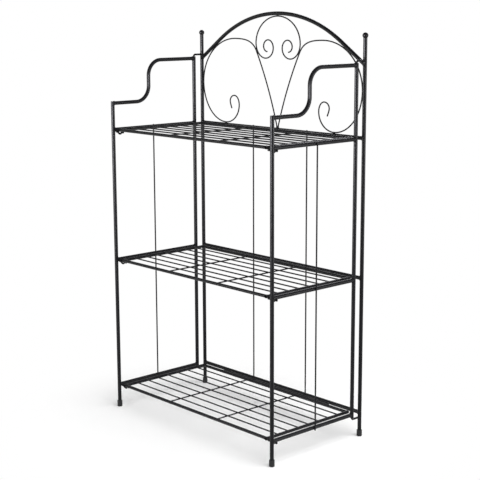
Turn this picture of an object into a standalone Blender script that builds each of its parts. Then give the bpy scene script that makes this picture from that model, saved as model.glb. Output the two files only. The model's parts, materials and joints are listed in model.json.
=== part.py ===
import math

import bmesh
import bpy
from mathutils import Matrix, Vector

# Driving dimensions, in metres. The front of the stand faces -Y and its left side is at -X.
POST_SPACING = 0.700
FRAME_DEPTH = 0.357
SIDE_HINGE_DEPTH = 0.034
TUBE = 0.0115
SHELF_TUBE = 0.0093
WALL = 0.0012
UPRIGHT_WIRE = 0.0044
SCROLL_WIRE = 0.0041
SHELF_WIRE = 0.0042
SIDE_PIN = 0.006
SHELF_PIN = 0.005
HOOK_WIRE = 0.006
LOWEST_SHELF = 0.0725
SHELF_PITCH = 0.404
ARM_HEIGHT = 0.080
ARM_STEP = 0.125
ARM_BEND = 0.048
ARM_STEP_PLACE = 0.57
ARCH_RADIUS = 0.463
ARCH_SLOPE = math.radians(34.2)
LOOP_REACH = 0.095
LOOP_DROP = 0.081
CURL_PLACE = 0.045
CURL_DROP = 0.008
CURL_RADIUS = 0.0165
LEG_BOW = math.radians(6)
FINIAL_BALL = 0.0168
FINIAL_RISE = 0.0624
FINIAL_PLUG = 0.014
FOOT_HEIGHT = 0.0195
FOOT_WIDTH = 0.0158
FOOT_EDGE = 0.0018
FOOT_FLOOR = 0.003
HINGE_TUBE_DROP = 0.0085
SHELF_INSET = 0.0255
FRONT_BAR_SETBACK = 0.006
REAR_BAR_DEPTH = 0.027
SHELF_HINGE_LENGTH = 0.400
SHELF_PIN_LEG = 0.038
LONG_WIRES = 7
HOOK_SETBACK = 0.015
HOOK_SAG = 0.004

# Clearances and overlaps.
GAP = 0.0003
WELD = 0.0008
PIN_REACH = 0.018
MERGE = 0.00001
TUBE_SIDES = 12
WIRE_SIDES = 8

# Places that follow from the dimensions above.
HALF = POST_SPACING / 2
REAR_REACH = max(FOOT_WIDTH / 2, TUBE / 2 + GAP + UPRIGHT_WIRE)
BACK_Y = (FRAME_DEPTH + FOOT_WIDTH / 2 - REAR_REACH) / 2
FRONT_Y = BACK_Y - FRAME_DEPTH
SIDE_AXIS_Y = BACK_Y - SIDE_HINGE_DEPTH
SHELF_AXIS_Y = BACK_Y - REAR_BAR_DEPTH + SHELF_TUBE + GAP
LEVELS = [LOWEST_SHELF + SHELF_PITCH * step for step in range(3)]
LEVEL_NAMES = ["bottom", "middle", "top"]
ARM_LOW = LEVELS[2] + ARM_HEIGHT
ARM_HIGH = ARM_LOW + ARM_STEP
SIDE_TUBE_TOP = ARM_HIGH + TUBE / 2 + GAP
SIDE_TUBE_BOTTOM = LEVELS[0] - HINGE_TUBE_DROP
PIN_LEG = SIDE_TUBE_TOP + SIDE_PIN
POST_TOP = PIN_LEG + SIDE_PIN + GAP
ARCH_TOP = (ARM_HIGH + (HALF - ARCH_RADIUS * math.sin(ARCH_SLOPE)) * math.tan(ARCH_SLOPE)
            + ARCH_RADIUS * (1 - math.cos(ARCH_SLOPE)))
SIDES = {"left": -1, "right": 1}

for old in list(bpy.data.objects):
    bpy.data.objects.remove(old)

stand = bpy.data.collections.new("tiered_plant_stand")
cutters = bpy.data.collections.new("cutters")
bpy.context.scene.collection.children.link(stand)
bpy.context.scene.collection.children.link(cutters)


def make_material(name, colour, roughness):
    material = bpy.data.materials.new(name)
    material.use_nodes = True
    shader = material.node_tree.nodes["Principled BSDF"]
    shader.inputs["Base Color"].default_value = (*colour, 1)
    shader.inputs["Roughness"].default_value = roughness
    return material


coat = make_material("black_powder_coat", (0.018, 0.018, 0.020), 0.42)
cap_plastic = make_material("black_cap_plastic", (0.022, 0.022, 0.023), 0.55)


def finished(item, material):
    """Give an object its material and smooth shading, and put it in the stand's collection."""
    stand.objects.link(item)
    item.data.materials.clear()
    item.data.materials.append(material)
    if item.type == "MESH":
        item.data.polygons.foreach_set("use_smooth", [True] * len(item.data.polygons))
        item.data.set_sharp_from_angle(angle=math.radians(40))
    return item


def rod_mesh(name, start, end, radius, sides):
    """A capped rod between two points, in world coordinates."""
    start = Vector(start)
    along = Vector(end) - start
    turn = along.to_track_quat("Z", "Y").to_matrix().to_4x4()
    shape = bmesh.new()
    bmesh.ops.create_cone(shape, cap_ends=True, segments=sides, radius1=radius, radius2=radius,
                          depth=along.length)
    bmesh.ops.transform(shape, matrix=Matrix.Translation(start + along / 2) @ turn, verts=shape.verts)
    bmesh.ops.recalc_face_normals(shape, faces=shape.faces)
    mesh = bpy.data.meshes.new(name)
    shape.to_mesh(mesh)
    shape.free()
    return mesh


def wire_curve(name, points, thickness, sides=WIRE_SIDES):
    """A round wire through the points."""
    curve = bpy.data.curves.new(name, "CURVE")
    curve.dimensions = "3D"
    curve.bevel_depth = thickness / 2
    curve.bevel_resolution = (sides - 4) // 2
    curve.use_fill_caps = True
    spline = curve.splines.new("POLY")
    spline.points.add(len(points) - 1)
    for knot, point in zip(spline.points, points):
        knot.co = (*point, 1)
    return bpy.data.objects.new(name, curve)


def settled_mesh(item, name):
    """The mesh of an object with its modifiers done; the object itself is removed."""
    bpy.context.view_layer.update()
    seen = item.evaluated_get(bpy.context.evaluated_depsgraph_get())
    mesh = bpy.data.meshes.new_from_object(seen)
    mesh.name = name
    mesh.transform(item.matrix_world)
    bpy.data.objects.remove(item)
    shape = bmesh.new()
    shape.from_mesh(mesh)
    bmesh.ops.remove_doubles(shape, verts=shape.verts, dist=MERGE / 10)
    bmesh.ops.recalc_face_normals(shape, faces=shape.faces)
    shape.to_mesh(mesh)
    shape.free()
    return mesh


def wire_mesh(name, points, thickness, sides=WIRE_SIDES):
    item = wire_curve(name, points, thickness, sides)
    cutters.objects.link(item)
    return settled_mesh(item, name)


def without_ends(mesh, first=True, last=True):
    """Take the end caps off a rod's mesh: first is the cap with the lower vertex numbers."""
    shape = bmesh.new()
    shape.from_mesh(mesh)
    caps = sorted((face for face in shape.faces if len(face.verts) > 4),
                  key=lambda face: min(corner.index for corner in face.verts))
    chosen = caps[:1] * first + caps[1:] * last
    bmesh.ops.delete(shape, geom=chosen, context="FACES_ONLY")
    shape.to_mesh(mesh)
    shape.free()
    return mesh


def hollow(item):
    """Turn the open shell of a tube into a wall."""
    wall = item.modifiers.new("wall", "SOLIDIFY")
    wall.thickness = WALL
    wall.offset = -1
    wall.use_even_offset = True
    return item


def cut(item, cutter):
    saddle = item.modifiers.new("saddle", "BOOLEAN")
    saddle.operation = "DIFFERENCE"
    saddle.solver = "EXACT"
    saddle.object = cutter


def cutter_rod(name, start, end, thickness=TUBE):
    """A hidden rod a little thicker than a tube, which copes the ends of the tubes that meet it."""
    item = bpy.data.objects.new(name, rod_mesh(name, start, end, thickness / 2 + GAP, 2 * TUBE_SIDES))
    cutters.objects.link(item)
    item.hide_render = True
    item.display_type = "WIRE"
    return item


def tube(name, start, end, saddles=(), thickness=TUBE):
    mesh = without_ends(rod_mesh(name, start, end, thickness / 2, TUBE_SIDES))
    item = hollow(finished(bpy.data.objects.new(name, mesh), coat))
    for cutter in saddles:
        cut(item, cutter)
    return item


def bent_tube(name, points, saddles):
    mesh = without_ends(wire_mesh(name, points, TUBE, TUBE_SIDES))
    item = hollow(finished(bpy.data.objects.new(name, mesh), coat))
    for cutter in saddles:
        cut(item, cutter)
    return item


def wire(name, points, thickness, saddles=()):
    item = finished(bpy.data.objects.new(name, wire_mesh(name, points, thickness)), coat)
    for cutter in saddles:
        cut(item, cutter)
    return item


def turned(name, profile, place, material, steps):
    """A profile of (radius, height) points from the top down, turned about a vertical axis."""
    mesh = bpy.data.meshes.new(name)
    mesh.from_pydata([(radius, 0, height) for radius, height in profile],
                     [(knot, knot + 1) for knot in range(len(profile) - 1)], [])
    item = bpy.data.objects.new(name, mesh)
    item.location = place
    screw = item.modifiers.new("turn", "SCREW")
    screw.steps = steps
    screw.render_steps = steps
    screw.use_merge_vertices = True
    screw.merge_threshold = MERGE
    cutters.objects.link(item)
    return finished(bpy.data.objects.new(name, settled_mesh(item, name)), material)


def arc(centre, radius, start, end, steps):
    """Points of an arc in a plane; angles in degrees."""
    angles = [math.radians(start + (end - start) * step / steps) for step in range(steps + 1)]
    return [(centre[0] + radius * math.cos(a), centre[1] + radius * math.sin(a)) for a in angles]


def quarter(start, end, level_start, steps):
    """A quarter of an ellipse between two points, level at its start or else at its end."""
    across = end[0] - start[0]
    up = end[1] - start[1]
    points = []
    for step in range(1, steps + 1):
        a = math.pi / 2 * step / steps
        if level_start:
            points.append((start[0] + across * math.sin(a), start[1] + up * (1 - math.cos(a))))
        else:
            points.append((start[0] + across * (1 - math.cos(a)), start[1] + up * math.sin(a)))
    return points


def bezier(start, first, second, end, steps):
    points = []
    for step in range(1, steps + 1):
        t = step / steps
        weights = ((1 - t) ** 3, 3 * t * (1 - t) ** 2, 3 * t * t * (1 - t), t ** 3)
        points.append(tuple(sum(w * p[axis] for w, p in zip(weights, (start, first, second, end)))
                            for axis in (0, 1)))
    return points


def parent_to_axis(items, name, place):
    """Hang the pieces of a moving body on an empty that stands on its joint's axis."""
    axis = bpy.data.objects.new(name, None)
    axis.location = place
    stand.objects.link(axis)
    bpy.context.view_layer.update()
    for item in items:
        item.parent = axis
        item.matrix_parent_inverse = axis.matrix_world.inverted()


foot_round = FOOT_WIDTH / 2 - FOOT_EDGE
foot_profile = [(TUBE / 2 + GAP, FOOT_HEIGHT)]
foot_profile += arc((foot_round, FOOT_HEIGHT - FOOT_EDGE), FOOT_EDGE, 90, 0, 3)
foot_profile += arc((foot_round, FOOT_EDGE), FOOT_EDGE, 0, -90, 3)
foot_profile += [(0, 0), (0, FOOT_FLOOR), (TUBE / 2 + GAP, FOOT_FLOOR), (TUBE / 2 + GAP, FOOT_HEIGHT)]
post_bottom = FOOT_FLOOR + GAP

# Back frame: posts, feet, finials, rails, arch and wires.
ball_radius = FINIAL_BALL / 2
neck = math.asin(TUBE / 2 / ball_radius)
ball_steps = 9
finial_profile = []
for step in range(ball_steps + 1):
    turn = (math.pi - neck) * step / ball_steps
    finial_profile.append((ball_radius * math.sin(turn), FINIAL_RISE + ball_radius * math.cos(turn)))
plug_radius = TUBE / 2 - WALL - GAP
finial_profile += [(TUBE / 2, GAP), (plug_radius, GAP), (plug_radius, -FINIAL_PLUG), (0, -FINIAL_PLUG)]
finial_profile[0] = (0, FINIAL_RISE + ball_radius)

post_cutters = {}
for side, sign in SIDES.items():
    x = sign * HALF
    tube(f"rear_post_{side}", (x, BACK_Y, post_bottom), (x, BACK_Y, POST_TOP))
    turned(f"rear_foot_{side}", foot_profile, (x, BACK_Y, 0), cap_plastic, 16)
    turned(f"finial_{side}", finial_profile, (x, BACK_Y, POST_TOP), coat, 16)
    post_cutters[side] = cutter_rod(f"rear_post_{side}_cutter", (x, BACK_Y, 0), (x, BACK_Y, POST_TOP))

for level, place in zip(LEVEL_NAMES, LEVELS):
    tube(f"{level}_rail", (-HALF, BACK_Y, place), (HALF, BACK_Y, place), post_cutters.values())

arch_angle = 90 - math.degrees(ARCH_SLOPE)
arch_path = [(HALF, ARM_HIGH)]
arch_path += arc((0, ARCH_TOP - ARCH_RADIUS), ARCH_RADIUS, arch_angle, 180 - arch_angle, 14)
arch_path += [(-HALF, ARM_HIGH)]
bent_tube("arch_tube", [(x, BACK_Y, z) for x, z in arch_path], post_cutters.values())

wire_y = BACK_Y + TUBE / 2 + GAP + UPRIGHT_WIRE / 2
for side, sign in SIDES.items():
    x = sign * HALF / 3
    wire(f"back_wire_{side}", [(x, wire_y, LEVELS[0] - TUBE / 2), (x, wire_y, LEVELS[2] + TUBE / 2)],
         UPRIGHT_WIRE)

# Scroll wires, laid out in the plane of the back frame. The central one hangs from the arch: a quarter
# of an ellipse to each side, which runs into a spiral.
reach = TUBE / 2 + SCROLL_WIRE / 2 + GAP
scroll_floor = LEVELS[2] + reach
loop_top = (0, ARCH_TOP - reach)
loop_side = (LOOP_REACH, loop_top[1] - LOOP_DROP)
curl_middle = (CURL_PLACE, loop_side[1] - CURL_DROP)
loop_half = [loop_top] + quarter(loop_top, loop_side, True, 8)
joint = Vector(loop_side) - Vector(curl_middle)
curl_start = math.atan2(joint.y, joint.x)
curl_turn = math.radians(455)
closing_turn = math.radians(340)
closing_power = 1.7
curl_steps = 21
for step in range(1, curl_steps + 1):
    turned_by = curl_turn * step / curl_steps
    still_open = max(0, 1 - turned_by / closing_turn) ** closing_power
    radius = CURL_RADIUS + (joint.length - CURL_RADIUS) * still_open
    turn = curl_start - turned_by
    loop_half.append((curl_middle[0] + radius * math.cos(turn), curl_middle[1] + radius * math.sin(turn)))
loop_path = [(-x, z) for x, z in reversed(loop_half[1:])] + loop_half
wire("scroll_center", [(x, BACK_Y, z) for x, z in loop_path], SCROLL_WIRE)

# Each side scroll leaves the top rail at the middle, bows a little and passes the central scroll as close
# as it can, rises to a hump under the arch, runs down the post, round on the rail and into a curl.
leg_foot = (SCROLL_WIRE / 2 + GAP, scroll_floor)
leg_angle = math.pi / 2
for x, z in loop_half:
    away = math.hypot(x - leg_foot[0], z - leg_foot[1])
    seen = math.atan2(z - leg_foot[1], x - leg_foot[0])
    leg_angle = min(leg_angle, seen - math.asin((SCROLL_WIRE + GAP) / away))
passing = leg_angle - LEG_BOW
loop_touch = max(loop_half, key=lambda knot: knot[0] * math.sin(passing) - knot[1] * math.cos(passing))
leg_end = (loop_touch[0] + (SCROLL_WIRE + GAP) * math.sin(passing),
           loop_touch[1] - (SCROLL_WIRE + GAP) * math.cos(passing))
chord = math.dist(leg_foot, leg_end)
leaving = 2 * math.atan2(leg_end[1] - leg_foot[1], leg_end[0] - leg_foot[0]) - passing
leg_near = (leg_foot[0] + chord / 3 * math.cos(leaving), leg_foot[1] + chord / 3 * math.sin(leaving))
leg_far = (leg_end[0] - chord / 3 * math.cos(passing), leg_end[1] - chord / 3 * math.sin(passing))
post_touch = (HALF - reach, scroll_floor + 0.36 * (ARM_HIGH - scroll_floor) + 0.15 * HALF)
hump_x = 0.543 * HALF
slope = math.tan(ARCH_SLOPE)
ceiling = ARM_HIGH + HALF * slope - reach / math.cos(ARCH_SLOPE)
hump_rise = math.sqrt((ceiling - post_touch[1] - slope * hump_x) ** 2
                      - (slope * (post_touch[0] - hump_x)) ** 2)
hump = (hump_x, post_touch[1] + hump_rise)
floor_touch = (0.669 * HALF, scroll_floor)
curl_left = (0.493 * HALF, scroll_floor + 0.163 * HALF)
curl_top = (0.556 * HALF, scroll_floor + 0.244 * HALF)
curl_right = (0.613 * HALF, scroll_floor + 0.193 * HALF)
curl_end = (0.592 * HALF, scroll_floor + 0.130 * HALF)
bend = 0.36 * (hump[0] - leg_end[0])
leg_ahead = (leg_end[0] + bend * math.cos(passing), leg_end[1] + bend * math.sin(passing))
side_path = [leg_foot] + bezier(leg_foot, leg_near, leg_far, leg_end, 6)
side_path += bezier(leg_end, leg_ahead, (hump[0] - 1.4 * bend, hump[1]), hump, 6)
side_path += quarter(hump, post_touch, True, 9)
side_path += quarter(post_touch, floor_touch, False, 8)
side_path += quarter(floor_touch, curl_left, True, 6)
side_path += quarter(curl_left, curl_top, False, 4)
side_path += quarter(curl_top, curl_right, True, 4)
side_path += bezier(curl_right, (curl_right[0], curl_right[1] - 0.02 * HALF),
                    (curl_end[0] + 0.008 * HALF, curl_end[1] + 0.02 * HALF), curl_end, 3)
for side, sign in SIDES.items():
    wire(f"scroll_{side}", [(sign * x, BACK_Y, z) for x, z in side_path], SCROLL_WIRE)

# Side frames. Each turns on two bent pins that stand on the back post and enter its rear tube.
pin_bend = PIN_LEG - SIDE_TUBE_TOP
low_leg = SIDE_TUBE_BOTTOM - pin_bend
side_wire_y = (FRONT_Y + SIDE_AXIS_Y) / 2
hook_y = FRONT_Y + HOOK_SETBACK
step_y = SIDE_AXIS_Y - ARM_STEP_PLACE * (SIDE_AXIS_Y - FRONT_Y)
arm_path = [(FRONT_Y, ARM_LOW)]
arm_path += arc((step_y - ARM_BEND, ARM_LOW + ARM_BEND), ARM_BEND, -90, 0, 5)
arm_path += arc((step_y + ARM_BEND, ARM_HIGH - ARM_BEND), ARM_BEND, 180, 90, 5)
arm_path += [(SIDE_AXIS_Y, ARM_HIGH)]
upper_pin = [(BACK_Y, PIN_LEG)]
upper_pin += arc((SIDE_AXIS_Y + pin_bend, PIN_LEG - pin_bend), pin_bend, 90, 180, 5)
upper_pin += [(SIDE_AXIS_Y, SIDE_TUBE_TOP - PIN_REACH)]
lower_pin = [(SIDE_AXIS_Y, SIDE_TUBE_BOTTOM + PIN_REACH)]
lower_pin += arc((SIDE_AXIS_Y + pin_bend, SIDE_TUBE_BOTTOM), pin_bend, 180, 270, 5)
lower_pin += [(BACK_Y, low_leg)]

for side, sign in SIDES.items():
    x = sign * HALF
    wire(f"upper_side_pin_{side}", [(x, y, z) for y, z in upper_pin], SIDE_PIN, [post_cutters[side]])
    wire(f"lower_side_pin_{side}", [(x, y, z) for y, z in lower_pin], SIDE_PIN, [post_cutters[side]])

    front_top = ARM_LOW + TUBE / 2
    front_cutter = cutter_rod(f"front_post_{side}_cutter", (x, FRONT_Y, 0), (x, FRONT_Y, front_top + TUBE))
    axis_cutter = cutter_rod(f"side_axis_{side}_cutter", (x, SIDE_AXIS_Y, 0), (x, SIDE_AXIS_Y, POST_TOP))
    saddles = (front_cutter, axis_cutter)
    post_mesh = rod_mesh(f"front_post_{side}", (x, FRONT_Y, post_bottom), (x, FRONT_Y, front_top),
                         TUBE / 2, TUBE_SIDES)
    front_post = bpy.data.objects.new(f"front_post_{side}", without_ends(post_mesh, last=False))
    frame = [hollow(finished(front_post, coat))]
    frame.append(turned(f"front_foot_{side}", foot_profile, (x, FRONT_Y, 0), cap_plastic, 16))
    frame.append(tube(f"side_hinge_tube_{side}", (x, SIDE_AXIS_Y, SIDE_TUBE_BOTTOM),
                      (x, SIDE_AXIS_Y, SIDE_TUBE_TOP)))
    frame.append(bent_tube(f"arm_tube_{side}", [(x, y, z) for y, z in arm_path], saddles))
    wire_x = sign * (HALF + TUBE / 2 + GAP + UPRIGHT_WIRE / 2)
    frame.append(wire(f"side_wire_{side}", [(wire_x, side_wire_y, LEVELS[0] - TUBE / 2),
                                            (wire_x, side_wire_y, LEVELS[2] + TUBE / 2)], UPRIGHT_WIRE))
    for level, place in zip(LEVEL_NAMES, LEVELS):
        bar = tube(f"{level}_crossbar_{side}", (x, FRONT_Y, place), (x, SIDE_AXIS_Y, place), saddles)
        under_bar = place - TUBE / 2 - HOOK_WIRE / 2
        hook_low = (-SHELF_INSET / 2, under_bar - HOOK_SAG)
        hook_end = (-SHELF_INSET, place - SHELF_TUBE / 2 - HOOK_WIRE / 2 - GAP)
        hook_path = [(0.3 * TUBE, under_bar + WELD), (0, under_bar + WELD)]
        hook_path += bezier(hook_path[-1], (hook_low[0] / 2, under_bar + WELD),
                            (hook_low[0] / 2, hook_low[1]), hook_low, 5)
        hook_path += bezier(hook_low, (hook_low[0] * 1.5, hook_low[1]),
                            (hook_low[0] * 1.5, hook_end[1]), hook_end, 5)
        hook_path += [(hook_end[0] - SHELF_TUBE / 2, hook_end[1])]
        hook = wire_curve(f"{level}_hook_{side}", [(x + sign * dx, hook_y, z) for dx, z in hook_path],
                          HOOK_WIRE)
        cutters.objects.link(hook)
        hook = bpy.data.objects.new(f"{level}_hook_{side}", settled_mesh(hook, f"{level}_hook_{side}"))
        cutters.objects.link(hook)
        hook.hide_render = True
        hook.display_type = "WIRE"
        weld = bar.modifiers.new("hook", "BOOLEAN")
        weld.operation = "UNION"
        weld.solver = "EXACT"
        weld.object = hook
        frame.append(bar)
    parent_to_axis(frame, f"side_frame_{side}_axis", (x, SIDE_AXIS_Y, SIDE_TUBE_BOTTOM))

# Shelves, laid out about a hinge axis at the origin and copied to the three levels. Their frames are of
# a thinner tube, and the hinge tube lies against the rear bar.
bar_x = HALF - SHELF_INSET
front_bar_y = FRONT_Y + FRONT_BAR_SETBACK - SHELF_AXIS_Y
rear_bar_y = BACK_Y - REAR_BAR_DEPTH - SHELF_AXIS_Y
side_bar_ends = (front_bar_y - SHELF_TUBE / 2, rear_bar_y + SHELF_TUBE / 2)
side_cutters = []
shelf_parts = {}
for side, sign in SIDES.items():
    side_cutters.append(cutter_rod(f"shelf_{side}_cutter", (sign * bar_x, side_bar_ends[0] - TUBE, 0),
                                   (sign * bar_x, side_bar_ends[1] + TUBE, 0), SHELF_TUBE))
    shelf_parts[f"{side}_bar"] = tube(f"pattern_{side}_bar", (sign * bar_x, side_bar_ends[0], 0),
                                      (sign * bar_x, side_bar_ends[1], 0), (), SHELF_TUBE)
for part, y in (("front_bar", front_bar_y), ("rear_bar", rear_bar_y)):
    shelf_parts[part] = tube(f"pattern_{part}", (-bar_x, y, 0), (bar_x, y, 0), side_cutters, SHELF_TUBE)
shelf_parts["hinge_tube"] = tube("pattern_hinge_tube", (-SHELF_HINGE_LENGTH / 2, 0, 0),
                                 (SHELF_HINGE_LENGTH / 2, 0, 0), (), SHELF_TUBE)

# The wire grid: long wires level with the top of the bars, on two cross wires that run from the front
# bar to the rear bar.
long_z = (SHELF_TUBE - SHELF_WIRE) / 2
cross_z = long_z - SHELF_WIRE + WELD
long_end = bar_x - SHELF_TUBE / 2 - GAP
cross_ends = (front_bar_y + SHELF_TUBE / 2 + GAP, rear_bar_y - SHELF_TUBE / 2 - GAP)
grid_wires = bpy.data.collections.new("grid_wires")
cutters.children.link(grid_wires)
for number in range(LONG_WIRES):
    y = front_bar_y + (rear_bar_y - front_bar_y) * (number + 1) / (LONG_WIRES + 1)
    mesh = rod_mesh(f"long_wire_{number}", (-long_end, y, long_z), (long_end, y, long_z), SHELF_WIRE / 2,
                    WIRE_SIDES)
    grid_wires.objects.link(bpy.data.objects.new(f"long_wire_{number}", mesh))
cross_meshes = [rod_mesh("pattern_wire_grid", (sign * bar_x / 3, cross_ends[0], cross_z),
                         (sign * bar_x / 3, cross_ends[1], cross_z), SHELF_WIRE / 2, WIRE_SIDES)
                for sign in (-1, 1)]
grid_wires.objects.link(bpy.data.objects.new("second_cross_wire", cross_meshes[1]))
for item in grid_wires.objects:
    item.hide_render = True
    item.display_type = "WIRE"
grid = finished(bpy.data.objects.new("pattern_wire_grid", cross_meshes[0]), coat)
crossing = grid.modifiers.new("crossing", "BOOLEAN")
crossing.operation = "UNION"
crossing.solver = "EXACT"
crossing.operand_type = "COLLECTION"
crossing.collection = grid_wires
shelf_parts["wire_grid"] = grid
shelf_meshes = {part: settled_mesh(item, part) for part, item in shelf_parts.items()}

# Hairpins on the rails: one leg lies on the rail's front, the other enters the hinge tube's end.
rail_face = BACK_Y - SHELF_AXIS_Y - TUBE / 2 - GAP - SHELF_PIN / 2
tube_end = SHELF_HINGE_LENGTH / 2
pin_turn = tube_end + SHELF_PIN_LEG - rail_face / 2 - SHELF_PIN / 2
shelf_pin = [(tube_end - PIN_REACH, 0)]
shelf_pin += arc((pin_turn, rail_face / 2), rail_face / 2, -90, 90, 8)
shelf_pin += [(tube_end, rail_face)]

for level, place in zip(LEVEL_NAMES, LEVELS):
    axis_place = Vector((0, SHELF_AXIS_Y, place))
    for side, sign in SIDES.items():
        wire(f"{level}_shelf_pin_{side}", [(sign * x, SHELF_AXIS_Y + y, place) for x, y in shelf_pin],
             SHELF_PIN)
    pieces = []
    for part, mesh in shelf_meshes.items():
        copied = mesh.copy()
        copied.transform(Matrix.Translation(axis_place))
        pieces.append(finished(bpy.data.objects.new(f"{level}_shelf_{part}", copied), coat))
    parent_to_axis(pieces, f"{level}_shelf_axis", axis_place)
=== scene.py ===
import json
import math

import bpy
import numpy as np
from mathutils import Matrix, Vector

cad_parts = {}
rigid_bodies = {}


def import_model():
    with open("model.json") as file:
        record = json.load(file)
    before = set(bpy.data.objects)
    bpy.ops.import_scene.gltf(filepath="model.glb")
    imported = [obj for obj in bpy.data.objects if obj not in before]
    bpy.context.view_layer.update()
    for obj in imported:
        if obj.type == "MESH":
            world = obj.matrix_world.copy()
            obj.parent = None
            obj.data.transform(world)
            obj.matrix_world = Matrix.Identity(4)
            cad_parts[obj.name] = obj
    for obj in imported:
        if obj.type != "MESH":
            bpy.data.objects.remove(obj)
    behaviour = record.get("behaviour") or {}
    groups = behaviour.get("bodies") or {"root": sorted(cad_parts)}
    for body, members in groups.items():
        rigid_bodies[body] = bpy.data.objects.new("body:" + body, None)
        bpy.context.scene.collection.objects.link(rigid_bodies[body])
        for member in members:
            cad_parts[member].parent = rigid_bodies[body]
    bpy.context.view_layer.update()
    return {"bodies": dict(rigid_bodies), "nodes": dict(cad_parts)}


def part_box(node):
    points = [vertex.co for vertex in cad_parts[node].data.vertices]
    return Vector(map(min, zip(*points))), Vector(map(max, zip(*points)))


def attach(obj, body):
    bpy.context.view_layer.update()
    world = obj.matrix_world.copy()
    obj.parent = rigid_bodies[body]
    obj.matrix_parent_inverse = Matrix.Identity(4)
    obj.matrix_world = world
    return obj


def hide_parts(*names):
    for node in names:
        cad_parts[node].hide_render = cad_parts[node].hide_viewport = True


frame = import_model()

print("frame loaded:", len(frame["nodes"]), "nodes")

sideSigns = {"left": -1, "right": 1}
levelNames = ("bottom", "middle", "top")
acrossX = np.array((1.0, 0.0, 0.0))
towardBack = np.array((0.0, 1.0, 0.0))
upward = np.array((0.0, 0.0, 1.0))


def spanOf(node):
    low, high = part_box(node)
    return np.array(low, float), np.array(high, float)


def middleOf(node):
    low, high = spanOf(node)
    return (low + high) / 2


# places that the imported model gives
postLow, postHigh = spanOf("rear_post_right")
half, backY = middleOf("rear_post_right")[:2]
tubeR = (postHigh[0] - postLow[0]) / 2
frontY = middleOf("front_post_right")[1]
sideY = middleOf("side_hinge_tube_right")[1]
sideTubeLow, sideTubeHigh = spanOf("side_hinge_tube_right")
shelfY = middleOf("bottom_shelf_hinge_tube")[1]
shelfTubeEnd = spanOf("bottom_shelf_hinge_tube")[1][0]
levelZ = {level: middleOf(f"{level}_rail")[2] for level in levelNames}
armLow = spanOf("arm_tube_right")[0][2] + tubeR
armHigh = spanOf("arm_tube_right")[1][2] - tubeR
archTop = spanOf("arch_tube")[1][2] - tubeR
barX = middleOf("bottom_shelf_right_bar")[0]
barLow, barHigh = spanOf("bottom_shelf_right_bar")
barR = (barHigh[0] - barLow[0]) / 2
frontBarY = middleOf("bottom_shelf_front_bar")[1]
rearBarY = middleOf("bottom_shelf_rear_bar")[1]

# what every tube and every wire shares; lengths are in metres here and below
tubing = {"sides": 40, "wall": 0.0012, "rim": 0.0005, "rimSteps": 5, "sink": 0.0004, "bore": 0.026,
          "boreFloor": 0.25, "boreEdge": (0.0002, 0.0003), "plainFrom": 0.004, "plainRows": 10}
wiring = {"sides": 20, "bulge": 0.7, "endSteps": 5, "endTurn": 0.46}
weldGap = 0.0003                               # pieces that a weld joins stand this far apart
sharpFrom = math.radians(38)                   # an edge that turns more than this stays crisp


# quads of a grid of points, row by row, joined round its columns and, if asked, round its rows
def gridQuads(rows, columns, closed):
    row = np.arange(rows if closed else rows - 1)[:, None]
    column = np.arange(columns)[None, :]
    nextRow = (row + 1) % rows
    nextColumn = (column + 1) % columns
    corners = (row * columns + column, row * columns + nextColumn,
               nextRow * columns + nextColumn, nextRow * columns + column)
    return np.stack(corners, -1).reshape(-1, 4)


# a shell is a grid of points (rows, columns, 3); unless it closes on itself, a fan fills each end ring
def makeShell(points, closed=False, rub=0.0):
    rows, columns = points.shape[:2]
    verts = points.reshape(-1, 3)
    quads = gridQuads(rows, columns, closed)
    fans = np.zeros((0, 3), int)
    marks = np.broadcast_to(np.asarray(rub, float), (rows, columns)).reshape(-1)
    if not closed:
        ring = np.arange(columns)
        after = (ring + 1) % columns
        last = (rows - 1) * columns
        first = np.stack((np.full(columns, len(verts)), after, ring), -1)
        final = np.stack((np.full(columns, len(verts) + 1), last + ring, last + after), -1)
        fans = np.concatenate((first, final))
        verts = np.concatenate((verts, points[0].mean(0)[None], points[-1].mean(0)[None]))
        marks = np.concatenate((marks, [marks[0], marks[-1]]))
    triangles = np.concatenate((quads[:, (0, 1, 2)], quads[:, (0, 2, 3)], fans))
    a, b, c = (verts[triangles[:, k]] - verts.mean(0) for k in range(3))
    if np.einsum("ij,ij->i", a, np.cross(b, c)).sum() < 0:
        quads, fans = quads[:, ::-1], fans[:, ::-1]     # volume below zero: the faces look inwards
    return verts, quads, fans, marks


def addObject(name, data):
    thing = bpy.data.objects.new(name, data)
    bpy.context.scene.collection.objects.link(thing)
    return thing


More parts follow.
